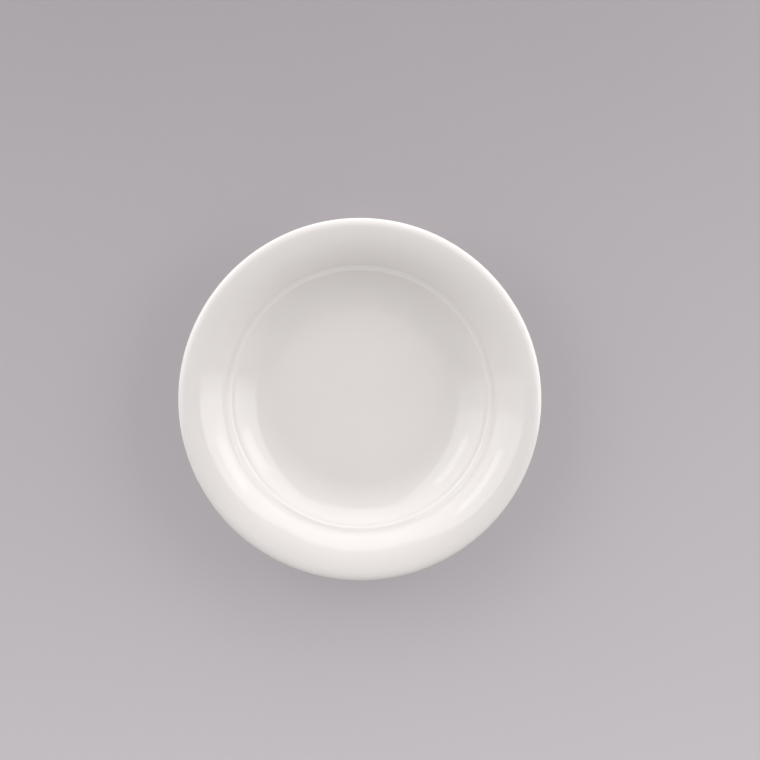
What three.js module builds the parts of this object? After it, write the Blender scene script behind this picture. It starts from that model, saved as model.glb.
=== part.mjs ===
// A deep plate of glazed hard porcelain, lying on its foot ring with its axis along +Z.
// The origin is at the centre of the ring's bearing plane. All sizes are in millimetres.
// One fired body carries a thin coat of glass in two areas, which the bare foot ring parts:
// the face with the lip and the outside, and the underside within the ring.
import * as THREE from "three";

// Overall size, over the glaze.
const RIM_DIAMETER = 230;
const PLATE_HEIGHT = 38.5;

// Face, over the glaze.
const FLOOR_DIAMETER = 108; // flat of the well
const FLARE_RADIUS = 39.5; // arch of the rim, from the relief line out to the lip
const LIP_TILT = 9; // degrees that the rim still rises where it runs into the lip
const LIP_REACH = 5; // length of the lip's rounding, on from the rim

// Walls, over the glaze.
const FLOOR_THICKNESS = 5.2;
const RIM_THICKNESS = 4.8;

// Relief line, a soft step that sets the rim back from the well.
const RELIEF_DEPTH = 1.5;
const RELIEF_WIDTH = 5; // along the wall

// Foot ring.
const FOOT_STANDOFF = 9; // the bearing face's outer edge, outside the flat floor's edge
const FOOT_WIDTH = 4.2; // at the bearing face, with its rounded edges
const FOOT_FLARE = 0.8; // gained on each side up to the root
const FOOT_RECESS = 4.8; // from the bearing plane up to the underside
const FOOT_EDGE = 0.9; // rounding of the bearing face's edges
const FOOT_FILLET = 1.8; // rounding at the ring's root
const FILLET_SHARE = 0.8; // most that a root's rounding takes of the glazed side below it

// Glaze.
const GLAZE_THICKNESS = 0.3;
const GLAZE_MARGIN = 0.6; // bare band on the ring's sides, above the rounded edges

// Facets round the axis, and steps along each curve of the outline.
const TURN_STEPS = 60;
const ARC_STEPS = 5;
const RELIEF_STEPS = 6;
const LIP_STEPS = 3;
const ROUND_STEPS = 2;

// The point at the end of a radius that leaves a centre downwards, tilted outwards by a slope.
// The surface that it meets there has that slope. A negative radius leaves the centre upwards.
function onArc(centre, radius, slope) {
  return new THREE.Vector2(
    centre.x + radius * Math.sin(slope),
    centre.y - radius * Math.cos(slope),
  );
}

// Points of an arc from one slope to another, both ends included.
function arcPoints(centre, radius, from, to, steps) {
  return Array.from({ length: steps + 1 }, (_, i) =>
    onArc(centre, radius, THREE.MathUtils.lerp(from, to, i / steps)),
  );
}

// A rounded corner: a curve that leaves one side and meets the other at the given reach.
function rounded(before, corner, after, reach) {
  const start = corner.clone().add(before.clone().sub(corner).setLength(reach));
  const end = corner.clone().add(after.clone().sub(corner).setLength(reach));
  return new THREE.QuadraticBezierCurve(start, corner, end).getPoints(ROUND_STEPS);
}

// The lip is a half ellipse as thick as the rim and tilted with it, so that its sides run on from
// the rim's. Each vector holds what the two half axes give towards the edge or the crest: its length
// is how far the ellipse reaches that way, and its angle is the turn at which it gets there.
const lipSlope = THREE.MathUtils.degToRad(LIP_TILT);
const lipRise = RIM_THICKNESS / 2;
const edgeReach = new THREE.Vector2(LIP_REACH * Math.cos(lipSlope), -lipRise * Math.sin(lipSlope));
const crestReach = new THREE.Vector2(LIP_REACH * Math.sin(lipSlope), lipRise * Math.cos(lipSlope));
const lipCentre = new THREE.Vector2(
  RIM_DIAMETER / 2 - edgeReach.length(),
  PLATE_HEIGHT - crestReach.length(),
);

// The wall is an S of two arcs: the hollow cove up to the relief line, and the arched flare above
// it, which is set back by the step. The flare runs into the lip. The cove stands on the floor's
// edge, and its radius is the one at which both arcs have the same slope at the line.
const floorEdge = new THREE.Vector2(FLOOR_DIAMETER / 2, FOOT_RECESS + FLOOR_THICKNESS);
const flareCentre = onArc(lipCentre, FLARE_RADIUS - lipRise, lipSlope);
const flareArc = FLARE_RADIUS + RELIEF_DEPTH; // before it is set back
const span = flareCentre.clone().sub(floorEdge);
const coveArc = (span.lengthSq() - flareArc ** 2) / (2 * (flareArc + span.y));
const coveCentre = new THREE.Vector2(floorEdge.x, floorEdge.y + coveArc);
const wallSlope = Math.atan2(span.x, coveCentre.y - flareCentre.y);

// A point of the step, by its distance along the wall from the relief line.
function reliefPoint(along) {
  const hollow = along < 0;
  const slope = wallSlope - Math.abs(along) / (hollow ? coveArc : flareArc);
  const drop = (RELIEF_DEPTH / 2) * (1 + Math.sin((Math.PI * along) / RELIEF_WIDTH));
  return hollow
    ? onArc(coveCentre, coveArc + drop, slope)
    : onArc(flareCentre, drop - flareArc, slope);
}

// Face, from the centre of the well out to the lip.
function facePoints() {
  const half = RELIEF_WIDTH / 2;
  const cove = arcPoints(coveCentre, coveArc, 0, wallSlope - half / coveArc, ARC_STEPS);
  const step = Array.from({ length: RELIEF_STEPS - 1 }, (_, i) =>
    reliefPoint(((i + 1) / RELIEF_STEPS - 0.5) * RELIEF_WIDTH),
  );
  const flare = arcPoints(
    flareCentre, -FLARE_RADIUS, wallSlope - half / flareArc, lipSlope, ARC_STEPS,
  );
  return [new THREE.Vector2(0, floorEdge.y), ...cove, ...step, ...flare];
}

// Lip, from the face over the crest and round the edge to the outside.
function lipPoints() {
  const stretch = (from, to) =>
    new THREE.EllipseCurve(
      lipCentre.x, lipCentre.y, LIP_REACH, lipRise, from, to, true, lipSlope,
    ).getPoints(LIP_STEPS);
  const upper = stretch(crestReach.angle(), edgeReach.angle());
  const lower = stretch(edgeReach.angle(), -Math.PI / 2);
  return [...upper, ...lower.slice(1, -1)];
}

// The ring's outer root lies on the wall's outside, which follows the cove at one distance.
const outsideCove = coveArc + RELIEF_DEPTH + RIM_THICKNESS;
const footRadius = floorEdge.x + FOOT_STANDOFF;
const rootSlope = Math.asin((FOOT_STANDOFF + FOOT_FLARE) / outsideCove);
const footOuter = new THREE.Vector2(footRadius, 0);
const footInner = new THREE.Vector2(footRadius - FOOT_WIDTH, 0);
const rootOuter = onArc(coveCentre, outsideCove, rootSlope);
const rootInner = new THREE.Vector2(footInner.x - FOOT_FLARE, FOOT_RECESS);
const underside = new THREE.Vector2(0, FOOT_RECESS);

// Where the glaze ends on a side of the ring.
function glazeLine(foot, root) {
  const share = (FOOT_EDGE + GLAZE_MARGIN) / root.y;
  return foot.clone().lerp(root, share);
}
const glazeOuter = glazeLine(footOuter, rootOuter);
const glazeInner = glazeLine(footInner, rootInner);

// Reach of a root's rounding, limited by the side that the glaze covers.
function rootReach(root) {
  return Math.min(FOOT_FILLET, FILLET_SHARE * (root.y - FOOT_EDGE - GLAZE_MARGIN));
}

// Outside, from the lip down to the ring's glaze line.
function outsidePoints() {
  const reach = rootReach(rootOuter);
  const filletSlope = rootSlope + reach / outsideCove;
  const filletEnd = onArc(coveCentre, outsideCove, filletSlope);
  const flare = arcPoints(
    flareCentre, RIM_THICKNESS - FLARE_RADIUS, lipSlope, wallSlope, ARC_STEPS,
  );
  const cove = arcPoints(coveCentre, outsideCove, wallSlope, filletSlope, ARC_STEPS - 1);
  const fillet = rounded(filletEnd, rootOuter, footOuter, reach);
  return [...flare, ...cove.slice(1, -1), ...fillet, glazeOuter];
}

// Bare ring between the two glaze lines.
function barePoints() {
  return [
    ...rounded(glazeOuter, footOuter, footInner, FOOT_EDGE),
    ...rounded(footOuter, footInner, glazeInner, FOOT_EDGE),
  ];
}

// Underside within the ring, from its glaze line in to the axis.
function undersidePoints() {
  const fillet = rounded(footInner, rootInner, underside, rootReach(rootInner));
  return [glazeInner, ...fillet, underside];
}

// The porcelain's own surface under a glazed stretch: the outline sunk by the coat's thickness.
// It stays on the axis, and meets the glaze where the coat runs out at the ring.
function sunk(points) {
  return points.map((point, i) => {
    if (point === glazeOuter || point === glazeInner) return point;
    const before = points[i - 1] ?? point;
    const after = points[i + 1] ?? point;
    const along = after.clone().sub(before).setLength(GLAZE_THICKNESS);
    const axial = point.x === 0;
    return new THREE.Vector2(
      axial ? 0 : point.x + along.y,
      axial ? point.y - Math.sign(along.x) * GLAZE_THICKNESS : point.y - along.x,
    );
  });
}

const glazed = [...facePoints(), ...lipPoints(), ...outsidePoints()];
const glazedUnder = undersidePoints();
const bodyTop = sunk(glazed);
const bodyUnder = sunk(glazedUnder);

const plate = new THREE.Group();

// Turns an outline, listed from the axis on top round to the axis below, into a solid.
function addTurned(name, outline, material) {
  const geometry = new THREE.LatheGeometry(outline.toReversed(), TURN_STEPS);
  geometry.rotateX(Math.PI / 2);
  const mesh = new THREE.Mesh(geometry, material);
  mesh.name = name;
  plate.add(mesh);
}

addTurned(
  "porcelain_body",
  [...bodyTop, ...barePoints(), ...bodyUnder],
  new THREE.MeshStandardMaterial({ color: "#e4dfd6", roughness: 0.75, metalness: 0 }),
);
addTurned(
  "outer_glaze",
  [...glazed, ...bodyTop.slice(0, -1).toReversed()],
  new THREE.MeshStandardMaterial({ color: "#ece8e3", roughness: 0.1, metalness: 0 }),
);
addTurned(
  "underside_glaze",
  [...bodyUnder.slice(1).toReversed(), ...glazedUnder],
  new THREE.MeshStandardMaterial({ color: "#ece8e3", roughness: 0.14, metalness: 0 }),
);

export default plate;
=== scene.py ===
"""Looks of a white glazed porcelain deep plate: fine turned surfaces over the part's frame, a warm
white gloss glaze, a bare matt foot ring, a plain pale floor and soft panels of studio light."""
import bisect
import math

import bpy
from mathutils import Matrix, Vector


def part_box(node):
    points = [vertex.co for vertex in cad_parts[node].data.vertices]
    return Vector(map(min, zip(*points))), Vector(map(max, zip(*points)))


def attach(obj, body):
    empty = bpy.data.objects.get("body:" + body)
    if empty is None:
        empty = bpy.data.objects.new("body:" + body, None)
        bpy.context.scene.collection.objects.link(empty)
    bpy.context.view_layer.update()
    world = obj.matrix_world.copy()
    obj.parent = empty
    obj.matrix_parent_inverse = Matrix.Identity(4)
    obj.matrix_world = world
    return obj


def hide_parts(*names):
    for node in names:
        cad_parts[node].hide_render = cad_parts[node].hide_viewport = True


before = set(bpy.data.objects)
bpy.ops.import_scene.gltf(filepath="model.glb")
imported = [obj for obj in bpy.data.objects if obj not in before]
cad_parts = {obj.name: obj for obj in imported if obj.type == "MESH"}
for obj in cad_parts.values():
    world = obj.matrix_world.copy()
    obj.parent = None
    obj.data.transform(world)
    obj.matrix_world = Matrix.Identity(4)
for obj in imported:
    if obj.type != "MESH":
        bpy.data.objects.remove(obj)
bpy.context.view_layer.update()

MM = 0.001

# Sizes that the frame gives.
_, body_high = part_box("porcelain_body")
glaze_low, glaze_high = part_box("outer_glaze")
_, under_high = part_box("underside_glaze")
RIM_RADIUS = glaze_high.x
PLATE_HEIGHT = glaze_high.z
GLAZE_THICKNESS = glaze_high.z - body_high.z
GLAZE_LINE = glaze_low.z  # height on the foot ring at which the glaze ends
FOOT_RECESS = under_high.z - GLAZE_THICKNESS  # from the bearing plane up to the underside

# Sizes of the outline, over the glaze.
FLOOR_RADIUS = 54 * MM  # flat of the well
FLARE_RADIUS = 39.5 * MM  # arch of the rim, from the relief line out to the lip
LIP_TILT = math.radians(9)  # slope of the rim where it runs into the lip
LIP_REACH = 5 * MM  # length of the lip's rounding, on from the rim
FLOOR_THICKNESS = 5.2 * MM
RIM_THICKNESS = 4.8 * MM
RELIEF_DEPTH = 1.5 * MM  # step that sets the rim back from the well
RELIEF_WIDTH = 5 * MM  # along the wall
FOOT_STANDOFF = 9 * MM  # the bearing face's outer edge, outside the flat floor's edge
FOOT_WIDTH = 4.2 * MM  # at the bearing face, with its rounded edges
FOOT_FLARE = 0.8 * MM  # gained on each side up to the root
FOOT_EDGE = 0.9 * MM  # rounding of the bearing face's edges
FOOT_FILLET = 1.8 * MM  # rounding at the ring's root

# Facets round the axis, and steps along each curve of the outline.
TURN_STEPS = 192
FLOOR_STEPS = 10
ARC_STEPS = 36
RELIEF_STEPS = 24
LIP_STEPS = 30
ROUND_STEPS = 8

# Turn of the outline, per metre, at which the painted highlight over an edge and the painted shade in a
# hollow start, and at which they are full.
BEND_START = 85
BEND_FULL = 140
BEND_REACH = 2 * MM  # stretch on each side of a point over which its turn is taken

# Tones, as linear red, green and blue.
GLAZE_TONE = (0.835, 0.794, 0.771)
PORCELAIN_TONE = (0.74, 0.70, 0.64)
PAPER_TONE = (0.54, 0.508, 0.532)
# Painted glow of the floor near the plate: painted light at the near side, painted shade at the far side.
PAINTED_NEAR_GLOW = (0.77, 0.721, 0.755)
PAINTED_FAR_GLOW = (0.135, 0.127, 0.133)
ROOM_TONE = (0.47, 0.442, 0.462)  # of the floor away from the plate, and of the room beyond it

# Floor and room. Distances are in metres from the plate's axis.
FLOOR_HALF = 3.0
GRADE_REACH = 0.25  # past this the painted glow is even, lightest at the near side, darkest at the far
FADE_START = 0.36
FADE_END = 0.55  # from here on the floor shows the room's tone alone
GLOW_SHARE = 0.4  # of the painted glow in what is seen of the paper near the plate
ROOM_LIGHT = 0.18

# The photograph's frame.
IMAGE_SIDE = 760  # pixels, both ways
PLATE_CENTRE = Vector((359.8, 399.7))  # pixels from the top left corner to the middle of the rim
RIM_PIXELS = 181.5  # radius of the rim
CAMERA_DISTANCE = 1.6
CAMERA_TILT = math.radians(2.3)


def lerp(a, b, t):
    return a + (b - a) * t


def on_arc(centre, radius, slope):
    """The point of an arc where the surface has that slope. An arched stretch has a negative radius."""
    return Vector((centre.x + radius * math.sin(slope), centre.y - radius * math.cos(slope)))


def arc_points(centre, radius, start, end, steps):
    return [on_arc(centre, radius, lerp(start, end, i / steps)) for i in range(steps + 1)]


# The lip is a half ellipse, tilted with the rim, that gives the plate its full radius and height.
lip_along = LIP_REACH * Vector((math.cos(LIP_TILT), math.sin(LIP_TILT)))
lip_across = RIM_THICKNESS / 2 * Vector((-math.sin(LIP_TILT), math.cos(LIP_TILT)))
lip_centre = Vector((RIM_RADIUS - math.hypot(lip_along.x, lip_across.x),
                     PLATE_HEIGHT - math.hypot(lip_along.y, lip_across.y)))

# The wall is an S of two arcs, the hollow cove and the arched flare, with one slope at the relief line.
floor_edge = Vector((FLOOR_RADIUS, FOOT_RECESS + FLOOR_THICKNESS))
flare_centre = on_arc(lip_centre, FLARE_RADIUS - RIM_THICKNESS / 2, LIP_TILT)
flare_arc = FLARE_RADIUS + RELIEF_DEPTH
span = flare_centre - floor_edge
cove_arc = (span.length_squared - flare_arc ** 2) / (2 * (flare_arc + span.y))
cove_centre = floor_edge + Vector((0, cove_arc))
wall_slope = math.atan2(span.x, cove_centre.y - flare_centre.y)

# The foot ring stands under the cove.
outside_cove = cove_arc + RELIEF_DEPTH + RIM_THICKNESS
root_slope = math.asin((FOOT_STANDOFF + FOOT_FLARE) / outside_cove)
foot_outer = Vector((FLOOR_RADIUS + FOOT_STANDOFF, 0))
foot_inner = foot_outer - Vector((FOOT_WIDTH, 0))
root_outer = on_arc(cove_centre, outside_cove, root_slope)
root_inner = Vector((foot_inner.x - FOOT_FLARE, FOOT_RECESS))
glaze_outer = foot_outer.lerp(root_outer, GLAZE_LINE / root_outer.y)
glaze_inner = foot_inner.lerp(root_inner, GLAZE_LINE / root_inner.y)
underside = Vector((0, FOOT_RECESS))


def relief_point(along):
    """A point of the relief's step, by its distance along the wall from the relief line."""
    hollow = along < 0
    slope = wall_slope - abs(along) / (cove_arc if hollow else flare_arc)
    drop = RELIEF_DEPTH / 2 * (1 + math.sin(math.pi * along / RELIEF_WIDTH))
    if hollow:
        return on_arc(cove_centre, cove_arc + drop, slope)
    return on_arc(flare_centre, drop - flare_arc, slope)


def rounded(before, corner, after, reach):
    """A corner rounded by a quadratic curve that leaves each side at the given reach."""
    start = corner + (before - corner).normalized() * reach
    end = corner + (after - corner).normalized() * reach
    points = []
    for i in range(ROUND_STEPS + 1):
        t = i / ROUND_STEPS
        points.append(lerp(lerp(start, corner, t), lerp(corner, end, t), t))
    return points


def face_points():
    """From the centre of the well out to the lip."""
    half = RELIEF_WIDTH / 2
    floor = [Vector((FLOOR_RADIUS * i / FLOOR_STEPS, floor_edge.y)) for i in range(FLOOR_STEPS)]
    cove = arc_points(cove_centre, cove_arc, 0, wall_slope - half / cove_arc, ARC_STEPS)
    step = [relief_point(RELIEF_WIDTH * (i / RELIEF_STEPS - 0.5)) for i in range(1, RELIEF_STEPS)]
    flare = arc_points(flare_centre, -FLARE_RADIUS, wall_slope - half / flare_arc, LIP_TILT, ARC_STEPS)
    return floor + cove + step + flare


def lip_points():
    """From the face round to the outside."""
    points = []
    for i in range(1, LIP_STEPS):
        turn = math.pi * (0.5 - i / LIP_STEPS)
        points.append(lip_centre + lip_along * math.cos(turn) + lip_across * math.sin(turn))
    return points


def outside_points():
    """From the lip down to the foot ring's glaze line."""
    fillet_slope = root_slope + FOOT_FILLET / outside_cove
    fillet_end = on_arc(cove_centre, outside_cove, fillet_slope)
    flare = arc_points(flare_centre, RIM_THICKNESS - FLARE_RADIUS, LIP_TILT, wall_slope, ARC_STEPS)
    cove = arc_points(cove_centre, outside_cove, wall_slope, fillet_slope, ARC_STEPS)
    fillet = rounded(fillet_end, root_outer, foot_outer, FOOT_FILLET)
    return flare + cove[1:-1] + fillet + [glaze_outer]


def bare_points():
    """The foot ring between its two glaze lines."""
    return (rounded(glaze_outer, foot_outer, foot_inner, FOOT_EDGE)
            + rounded(foot_outer, foot_inner, glaze_inner, FOOT_EDGE))


def underside_points():
    """From the ring's inner glaze line in to the axis."""
    fillet = rounded(foot_inner, root_inner, underside, FOOT_FILLET)
    inner_edge = fillet[-1].x
    floor = [Vector((inner_edge * (1 - i / FLOOR_STEPS), FOOT_RECESS)) for i in range(1, FLOOR_STEPS)]
    return [glaze_inner] + fillet + floor + [underside]


def sunk(points):
    """The porcelain under a glazed stretch: the outline sunk by the coat, which runs out at the ring."""
    moved = []
    for i, point in enumerate(points):
        if point in (glaze_outer, glaze_inner):
            moved.append(point)
            continue
        before = points[max(i - 1, 0)]
        after = points[min(i + 1, len(points) - 1)]
        along = (after - before).normalized() * GLAZE_THICKNESS
        if point.x == 0:
            moved.append(Vector((0, point.y - math.copysign(GLAZE_THICKNESS, along.x))))
        else:
            moved.append(Vector((point.x + along.y, point.y - along.x)))
    return moved


def bends(outline):
    """The outline's turn at each point, per metre: positive over an edge, negative in a hollow."""
    travel = [0]
    for before, after in zip(outline, outline[1:]):
        travel.append(travel[-1] + (after - before).length)

    def at(distance):
        distance = min(max(distance, 0), travel[-1])
        i = min(bisect.bisect_right(travel, distance), len(outline) - 1)
        return outline[i - 1].lerp(outline[i], (distance - travel[i - 1]) / (travel[i] - travel[i - 1]))

    turns = []
    for point, distance in zip(outline, travel):
        come = point - at(distance - BEND_REACH)
        leave = at(distance + BEND_REACH) - point
        turns.append(math.atan2(come.y * leave.x - come.x * leave.y, come.dot(leave)) / BEND_REACH)
    return turns


def turned(name, outline):
    """A solid turned from an outline, listed from the axis on top round to the axis below."""
    verts = []
    rings = []
    ring_bends = []
    for point, bend in zip(outline, bends(outline)):
        steps = 1 if point.x == 0 else TURN_STEPS
        rings.append(range(len(verts), len(verts) + steps))
        ring_bends.extend([bend] * steps)
        for k in range(steps):
            angle = 2 * math.pi * k / TURN_STEPS
            verts.append((point.x * math.cos(angle), point.x * math.sin(angle), point.y))
    faces = []
    for upper, lower in zip(rings, rings[1:]):
        for k in range(TURN_STEPS):
            after = (k + 1) % TURN_STEPS
            if len(upper) == 1:
                faces.append((upper[0], lower[k], lower[after]))
            elif len(lower) == 1:
                faces.append((upper[k], lower[0], upper[after]))
            else:
                faces.append((upper[k], lower[k], lower[after], upper[after]))
    mesh = bpy.data.meshes.new(name)
    mesh.from_pydata(verts, [], faces)
    mesh.polygons.foreach_set("use_smooth", [True] * len(mesh.polygons))
    mesh.attributes.new("bend", "FLOAT", "POINT").data.foreach_set("value", ring_bends)
    piece = bpy.data.objects.new(name, mesh)
    bpy.context.scene.collection.objects.link(piece)
    return piece


def shifted(tone, amount):
    """A tone made lighter, or darker by a negative amount."""
    return tuple(level + amount for level in tone)


class Nodes:
    """A node tree, with short calls that add nodes and join them."""

    def __init__(self, tree):
        self.tree = tree

    def add(self, kind, **settings):
        node = self.tree.nodes.new(kind)
        for key, value in settings.items():
            setattr(node, key, value)
        return node

    def join(self, source, target):
        self.tree.links.new(source, target)

    def maths(self, operation, first, second):
        node = self.add("ShaderNodeMath", operation=operation)
        self.join(first, node.inputs[0])
        self.join(second, node.inputs[1])
        return node.outputs["Value"]

    def blend(self, share, first, second):
        """Two shaders mixed: the first alone at a share of 0, the second alone at 1."""
        node = self.add("ShaderNodeMixShader")
        self.join(share, node.inputs["Fac"])
        self.join(first, node.inputs[1])
        self.join(second, node.inputs[2])
        return node.outputs["Shader"]

    def seen(self):
        """1 on rays that show a surface, also in a reflection, and 0 on rays that carry its light."""
        path = self.add("ShaderNodeLightPath")
        shown = path.outputs["Is Camera Ray"]
        for kind in ("Is Glossy Ray", "Is Transmission Ray"):
            shown = self.maths("MAXIMUM", shown, path.outputs[kind])
        return shown


class Finish(Nodes):
    """The nodes of a new material, with patterns laid out over the piece in its own metres."""

    # Places of the Mix node's sockets for colours, which share their names with its other sockets.
    MIX_FIRST = 6
    MIX_SECOND = 7
    MIX_RESULT = 2

    def __init__(self, name):
        self.material = bpy.data.materials.new(name)
        self.material.use_nodes = True
        super().__init__(self.material.node_tree)
        self.shader = self.tree.nodes["Principled BSDF"]
        self.place = self.add("ShaderNodeTexCoord").outputs["Object"]

    def colour(self, socket, value):
        """Sets a socket to one colour, or joins an output to it."""
        if isinstance(value, tuple):
            socket.default_value = (*value, 1)
        else:
            self.join(value, socket)

    def noise(self, scale, detail, roughness=0.5):
        node = self.add("ShaderNodeTexNoise")
        node.inputs["Scale"].default_value = scale
        node.inputs["Detail"].default_value = detail
        node.inputs["Roughness"].default_value = roughness
        self.join(self.place, node.inputs["Vector"])
        return node.outputs["Fac"]

    def spread(self, value, low, high, to_low, to_high, ramp="LINEAR"):
        node = self.add("ShaderNodeMapRange", interpolation_type=ramp)
        limits = {"From Min": low, "From Max": high, "To Min": to_low, "To Max": to_high}
        for key, number in limits.items():
            node.inputs[key].default_value = number
        self.join(value, node.inputs["Value"])
        return node.outputs["Result"]

    def cloud(self, noise, low=0, high=1, trim=0.3):
        """Noise with its rare ends trimmed off, spread between two values."""
        return self.spread(noise, trim, 1 - trim, low, high)

    def mix(self, share, first, second):
        node = self.add("ShaderNodeMix", data_type="RGBA")
        self.join(share, node.inputs["Factor"])
        self.colour(node.inputs[self.MIX_FIRST], first)
        self.colour(node.inputs[self.MIX_SECOND], second)
        return node.outputs[self.MIX_RESULT]

    def clouded(self, tone, swing, noise):
        """A tone that drifts a little darker and lighter."""
        return self.mix(self.cloud(noise), shifted(tone, -swing), shifted(tone, swing))

    def bump(self, height, distance):
        node = self.add("ShaderNodeBump")
        node.inputs["Distance"].default_value = distance
        self.join(height, node.inputs["Height"])
        return node.outputs["Normal"]

    def glow(self, colour):
        node = self.add("ShaderNodeEmission")
        self.colour(node.inputs["Color"], colour)
        return node.outputs["Emission"]

    def finish(self, colour, roughness, normal, ior):
        self.join(colour, self.shader.inputs["Base Color"])
        self.join(roughness, self.shader.inputs["Roughness"])
        self.join(normal, self.shader.inputs["Normal"])
        self.shader.inputs["IOR"].default_value = ior
        return self.material


def glaze_material():
    """Warm white gloss glaze: a little uneven in tone and sheen, with a faint ripple in its surface.
    Its tone carries a painted highlight over edges and painted shade in hollows."""
    n = Finish("gloss_glaze")
    even = n.clouded(GLAZE_TONE, swing=0.008, noise=n.noise(scale=22, detail=3))
    bend = n.add("ShaderNodeAttribute", attribute_name="bend").outputs["Fac"]
    # Painted highlight over edges and painted shade in hollows, set by the turn of the outline.
    painted_edge_highlight = n.spread(bend, BEND_START, BEND_FULL, 0, 1)
    painted_hollow_shade = n.spread(bend, -BEND_START, -BEND_FULL, 0, 1)
    lighter = n.mix(painted_edge_highlight, even, shifted(GLAZE_TONE, 0.047))
    tone = n.mix(painted_hollow_shade, lighter, shifted(GLAZE_TONE, -0.033))
    sheen = n.cloud(n.noise(scale=60, detail=4), low=0.06, high=0.09, trim=0.25)
    ripple = n.bump(n.noise(scale=150, detail=2), distance=0.01 * MM)
    return n.finish(tone, sheen, ripple, ior=1.5)


def porcelain_material():
    """Bare fired porcelain: matt, with a fine grain."""
    n = Finish("bare_porcelain")
    tone = n.clouded(PORCELAIN_TONE, swing=0.04, noise=n.noise(scale=90, detail=4, roughness=0.6))
    sheen = n.cloud(n.noise(scale=700, detail=2), low=0.6, high=0.8)
    grain = n.bump(n.noise(scale=2600, detail=3, roughness=0.7), distance=0.03 * MM)
    return n.finish(tone, sheen, grain, ior=1.5)


def floor_material():
    """Pale mauve-grey paper. What is seen of it has a share of a painted glow, graded as painted light
    from a lighter near side to a darker far side. Away from the plate it shows the room's tone alone."""
    n = Finish("paper")
    tone = n.clouded(PAPER_TONE, swing=0.005, noise=n.noise(scale=6, detail=4))
    sheen = n.cloud(n.noise(scale=300, detail=2), low=0.85, high=0.95)
    grain = n.bump(n.noise(scale=1500, detail=3), distance=0.05 * MM)
    n.finish(tone, sheen, grain, ior=1.2)
    seen = n.seen()
    axes = n.add("ShaderNodeSeparateXYZ")
    n.join(n.place, axes.inputs["Vector"])
    # Painted light and shade: a glow graded from lighter at the near side to darker at the far side.
    grade = n.spread(axes.outputs["Y"], -GRADE_REACH, GRADE_REACH, 0, 1)
    own = n.glow(n.mix(grade, PAINTED_NEAR_GLOW, PAINTED_FAR_GLOW))
    near = n.blend(n.spread(seen, 0, 1, 0, GLOW_SHARE), n.shader.outputs["BSDF"], own)
    distance = n.add("ShaderNodeVectorMath", operation="LENGTH")
    n.join(n.place, distance.inputs[0])
    fade = n.spread(distance.outputs["Value"], FADE_START, FADE_END, 0, 1, "SMOOTHSTEP")
    paper = n.blend(n.maths("MULTIPLY", seen, fade), near, n.glow(ROOM_TONE))
    n.join(paper, n.tree.nodes["Material Output"].inputs["Surface"])
    return n.material


def make_plate():
    """The fired body and its two coats of glaze, in place of the frame's coarser solids. A coat's outline
    runs along its surface and along the porcelain under it, and closes where it runs out at the ring."""
    glazed = face_points() + lip_points() + outside_points()
    glazed_under = underside_points()
    body_top = sunk(glazed)
    body_under = sunk(glazed_under)
    outlines = {
        "porcelain_body": ("turned_body", "porcelain", body_top + bare_points() + body_under),
        "outer_glaze": ("glaze_over_face", "glaze", glazed + body_top[-2::-1]),
        "underside_glaze": ("glaze_in_foot", "glaze", body_under[:0:-1] + glazed_under),
    }
    materials = {"porcelain": porcelain_material(), "glaze": glaze_material()}
    for node, (name, slot, outline) in outlines.items():
        piece = turned(name, outline)
        piece.data.materials.append(materials[slot])
        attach(piece, "root")
        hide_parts(node)


def make_floor():
    """A wide flat sheet, on which the foot ring stands."""
    mesh = bpy.data.meshes.new("floor")
    corners = [(-FLOOR_HALF, -FLOOR_HALF, 0), (FLOOR_HALF, -FLOOR_HALF, 0),
               (FLOOR_HALF, FLOOR_HALF, 0), (-FLOOR_HALF, FLOOR_HALF, 0)]
    mesh.from_pydata(corners, [], [(0, 1, 2, 3)])
    floor = bpy.data.objects.new("floor", mesh)
    mesh.materials.append(floor_material())
    bpy.context.scene.collection.objects.link(floor)


def panel(name, centre, facing, width, height, radiance):
    """A soft panel of light, centred at a point and facing along a direction."""
    light = bpy.data.lights.new(name, "AREA")
    light.shape = "RECTANGLE"
    light.size = width
    light.size_y = height
    light.energy = radiance * math.pi * width * height
    lamp = bpy.data.objects.new(name, light)
    lamp.visible_camera = False
    back = -facing.normalized()
    side = Vector((0, 0, 1)).cross(back).normalized()
    turn = Matrix((side, back.cross(side), back)).transposed().to_4x4()
    lamp.matrix_world = Matrix.Translation(centre) @ turn
    bpy.context.scene.collection.objects.link(lamp)


def wall_panel(name, start, end, top, radiance):
    """A panel that stands on the floor between two points, up to a height, with its face to the plate."""
    start = Vector((*start, 0))
    end = Vector((*end, 0))
    along = end - start
    facing = Vector((along.y, -along.x, 0))
    if facing.dot(start) > 0:
        facing.negate()
    centre = (start + end) / 2 + Vector((0, 0, top / 2))
    panel(name, centre, facing, along.length, top, radiance)


def aimed_panel(name, polar, turn, distance, width, height, radiance):
    """A small panel aimed at the plate, by its angles from the axis and round it, in degrees."""
    polar = math.radians(polar)
    turn = math.radians(turn)
    out = Vector((math.sin(polar) * math.cos(turn), math.sin(polar) * math.sin(turn), math.cos(polar)))
    panel(name, out * distance, -out, width, height, radiance)


def height_at(distance, polar):
    """The height that is seen from the plate at an angle from the axis, in degrees, over a distance."""
    return distance / math.tan(math.radians(polar))


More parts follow.
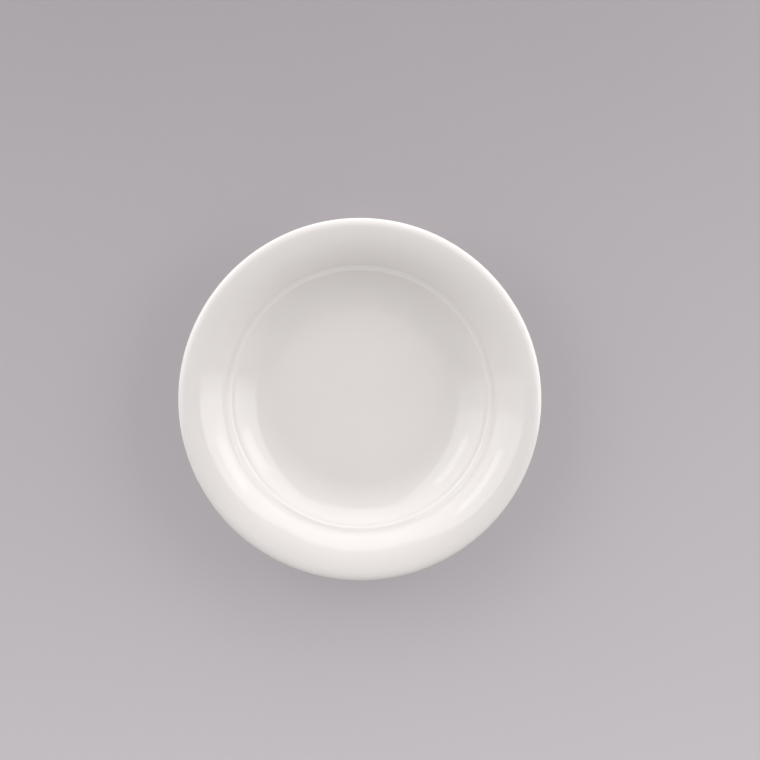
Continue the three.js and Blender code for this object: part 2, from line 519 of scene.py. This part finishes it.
def make_light():
    """Tall panels to the left and right, each with a dimmer near stretch, a lower one at the far side, a
    fill at the near side, and two small ones. The far panel reaches from the line of sight past the left
    panels' far end to the one past the right panels' far end, so that no gap shows in the glaze."""
    left = 0.75
    left_near, left_middle, left_far = -0.17, 0.03, 1.75
    left_top = height_at(left, polar=25.5)
    right = 0.80
    right_near, right_middle, right_far = -0.19, -0.09, 1.18
    right_top = height_at(right, polar=35.5)
    far = 0.85
    far_left = -left * far / left_far
    far_right = right * far / right_far
    far_top = height_at(far, polar=48.2)
    fill = 0.55
    fill_half = 1.55
    fill_top = 1.1
    wall_panel("left_near", (-left, left_near), (-left, left_middle), left_top, radiance=0.75)
    wall_panel("left_far", (-left, left_middle), (-left, left_far), left_top, radiance=1.69)
    wall_panel("right_near", (right, right_near), (right, right_middle), right_top, radiance=1.07)
    wall_panel("right_far", (right, right_middle), (right, right_far), right_top, radiance=2.03)
    wall_panel("far", (far_left, far), (far_right, far), far_top, radiance=1.73)
    wall_panel("near_fill", (-fill_half, -fill), (fill_half, -fill), fill_top, radiance=0.40)
    aimed_panel("left_strip", polar=54, turn=149, distance=0.8, width=0.34, height=0.19, radiance=1.6)
    aimed_panel("right_spot", polar=65, turn=24, distance=0.85, width=0.32, height=0.32, radiance=1.65)


def make_room():
    """A dim even light from all round, which is seen as the floor's own pale tone."""
    world = bpy.data.worlds.new("room")
    bpy.context.scene.world = world
    world.use_nodes = True
    n = Nodes(world.node_tree)
    light = n.tree.nodes["Background"]
    light.inputs["Color"].default_value = (1, 1, 1, 1)
    light.inputs["Strength"].default_value = ROOM_LIGHT
    shown = n.add("ShaderNodeBackground")
    shown.inputs["Color"].default_value = (*ROOM_TONE, 1)
    room = n.blend(n.seen(), light.outputs["Background"], shown.outputs["Background"])
    n.join(room, n.tree.nodes["World Output"].inputs["Surface"])


def make_camera():
    """Looks nearly straight down the plate's axis, framed as the photograph is."""
    rim_centre = Vector((0, 0, lip_centre.y))
    pixel = RIM_RADIUS / RIM_PIXELS
    camera = bpy.data.cameras.new("camera")
    camera.lens = camera.sensor_width * CAMERA_DISTANCE / (IMAGE_SIDE * pixel)
    eye = bpy.data.objects.new("camera", camera)
    middle = IMAGE_SIDE / 2
    away = Vector(((middle - PLATE_CENTRE.x) * pixel, (PLATE_CENTRE.y - middle) * pixel, CAMERA_DISTANCE))
    tilt = Matrix.Rotation(-CAMERA_TILT, 4, "X")
    eye.matrix_world = Matrix.Translation(rim_centre) @ tilt @ Matrix.Translation(away)
    bpy.context.scene.collection.objects.link(eye)
    bpy.context.scene.camera = eye


make_plate()
make_floor()
make_light()
make_room()
make_camera()
bpy.context.scene.view_settings.view_transform = "Standard"

bpy.context.view_layer.update()
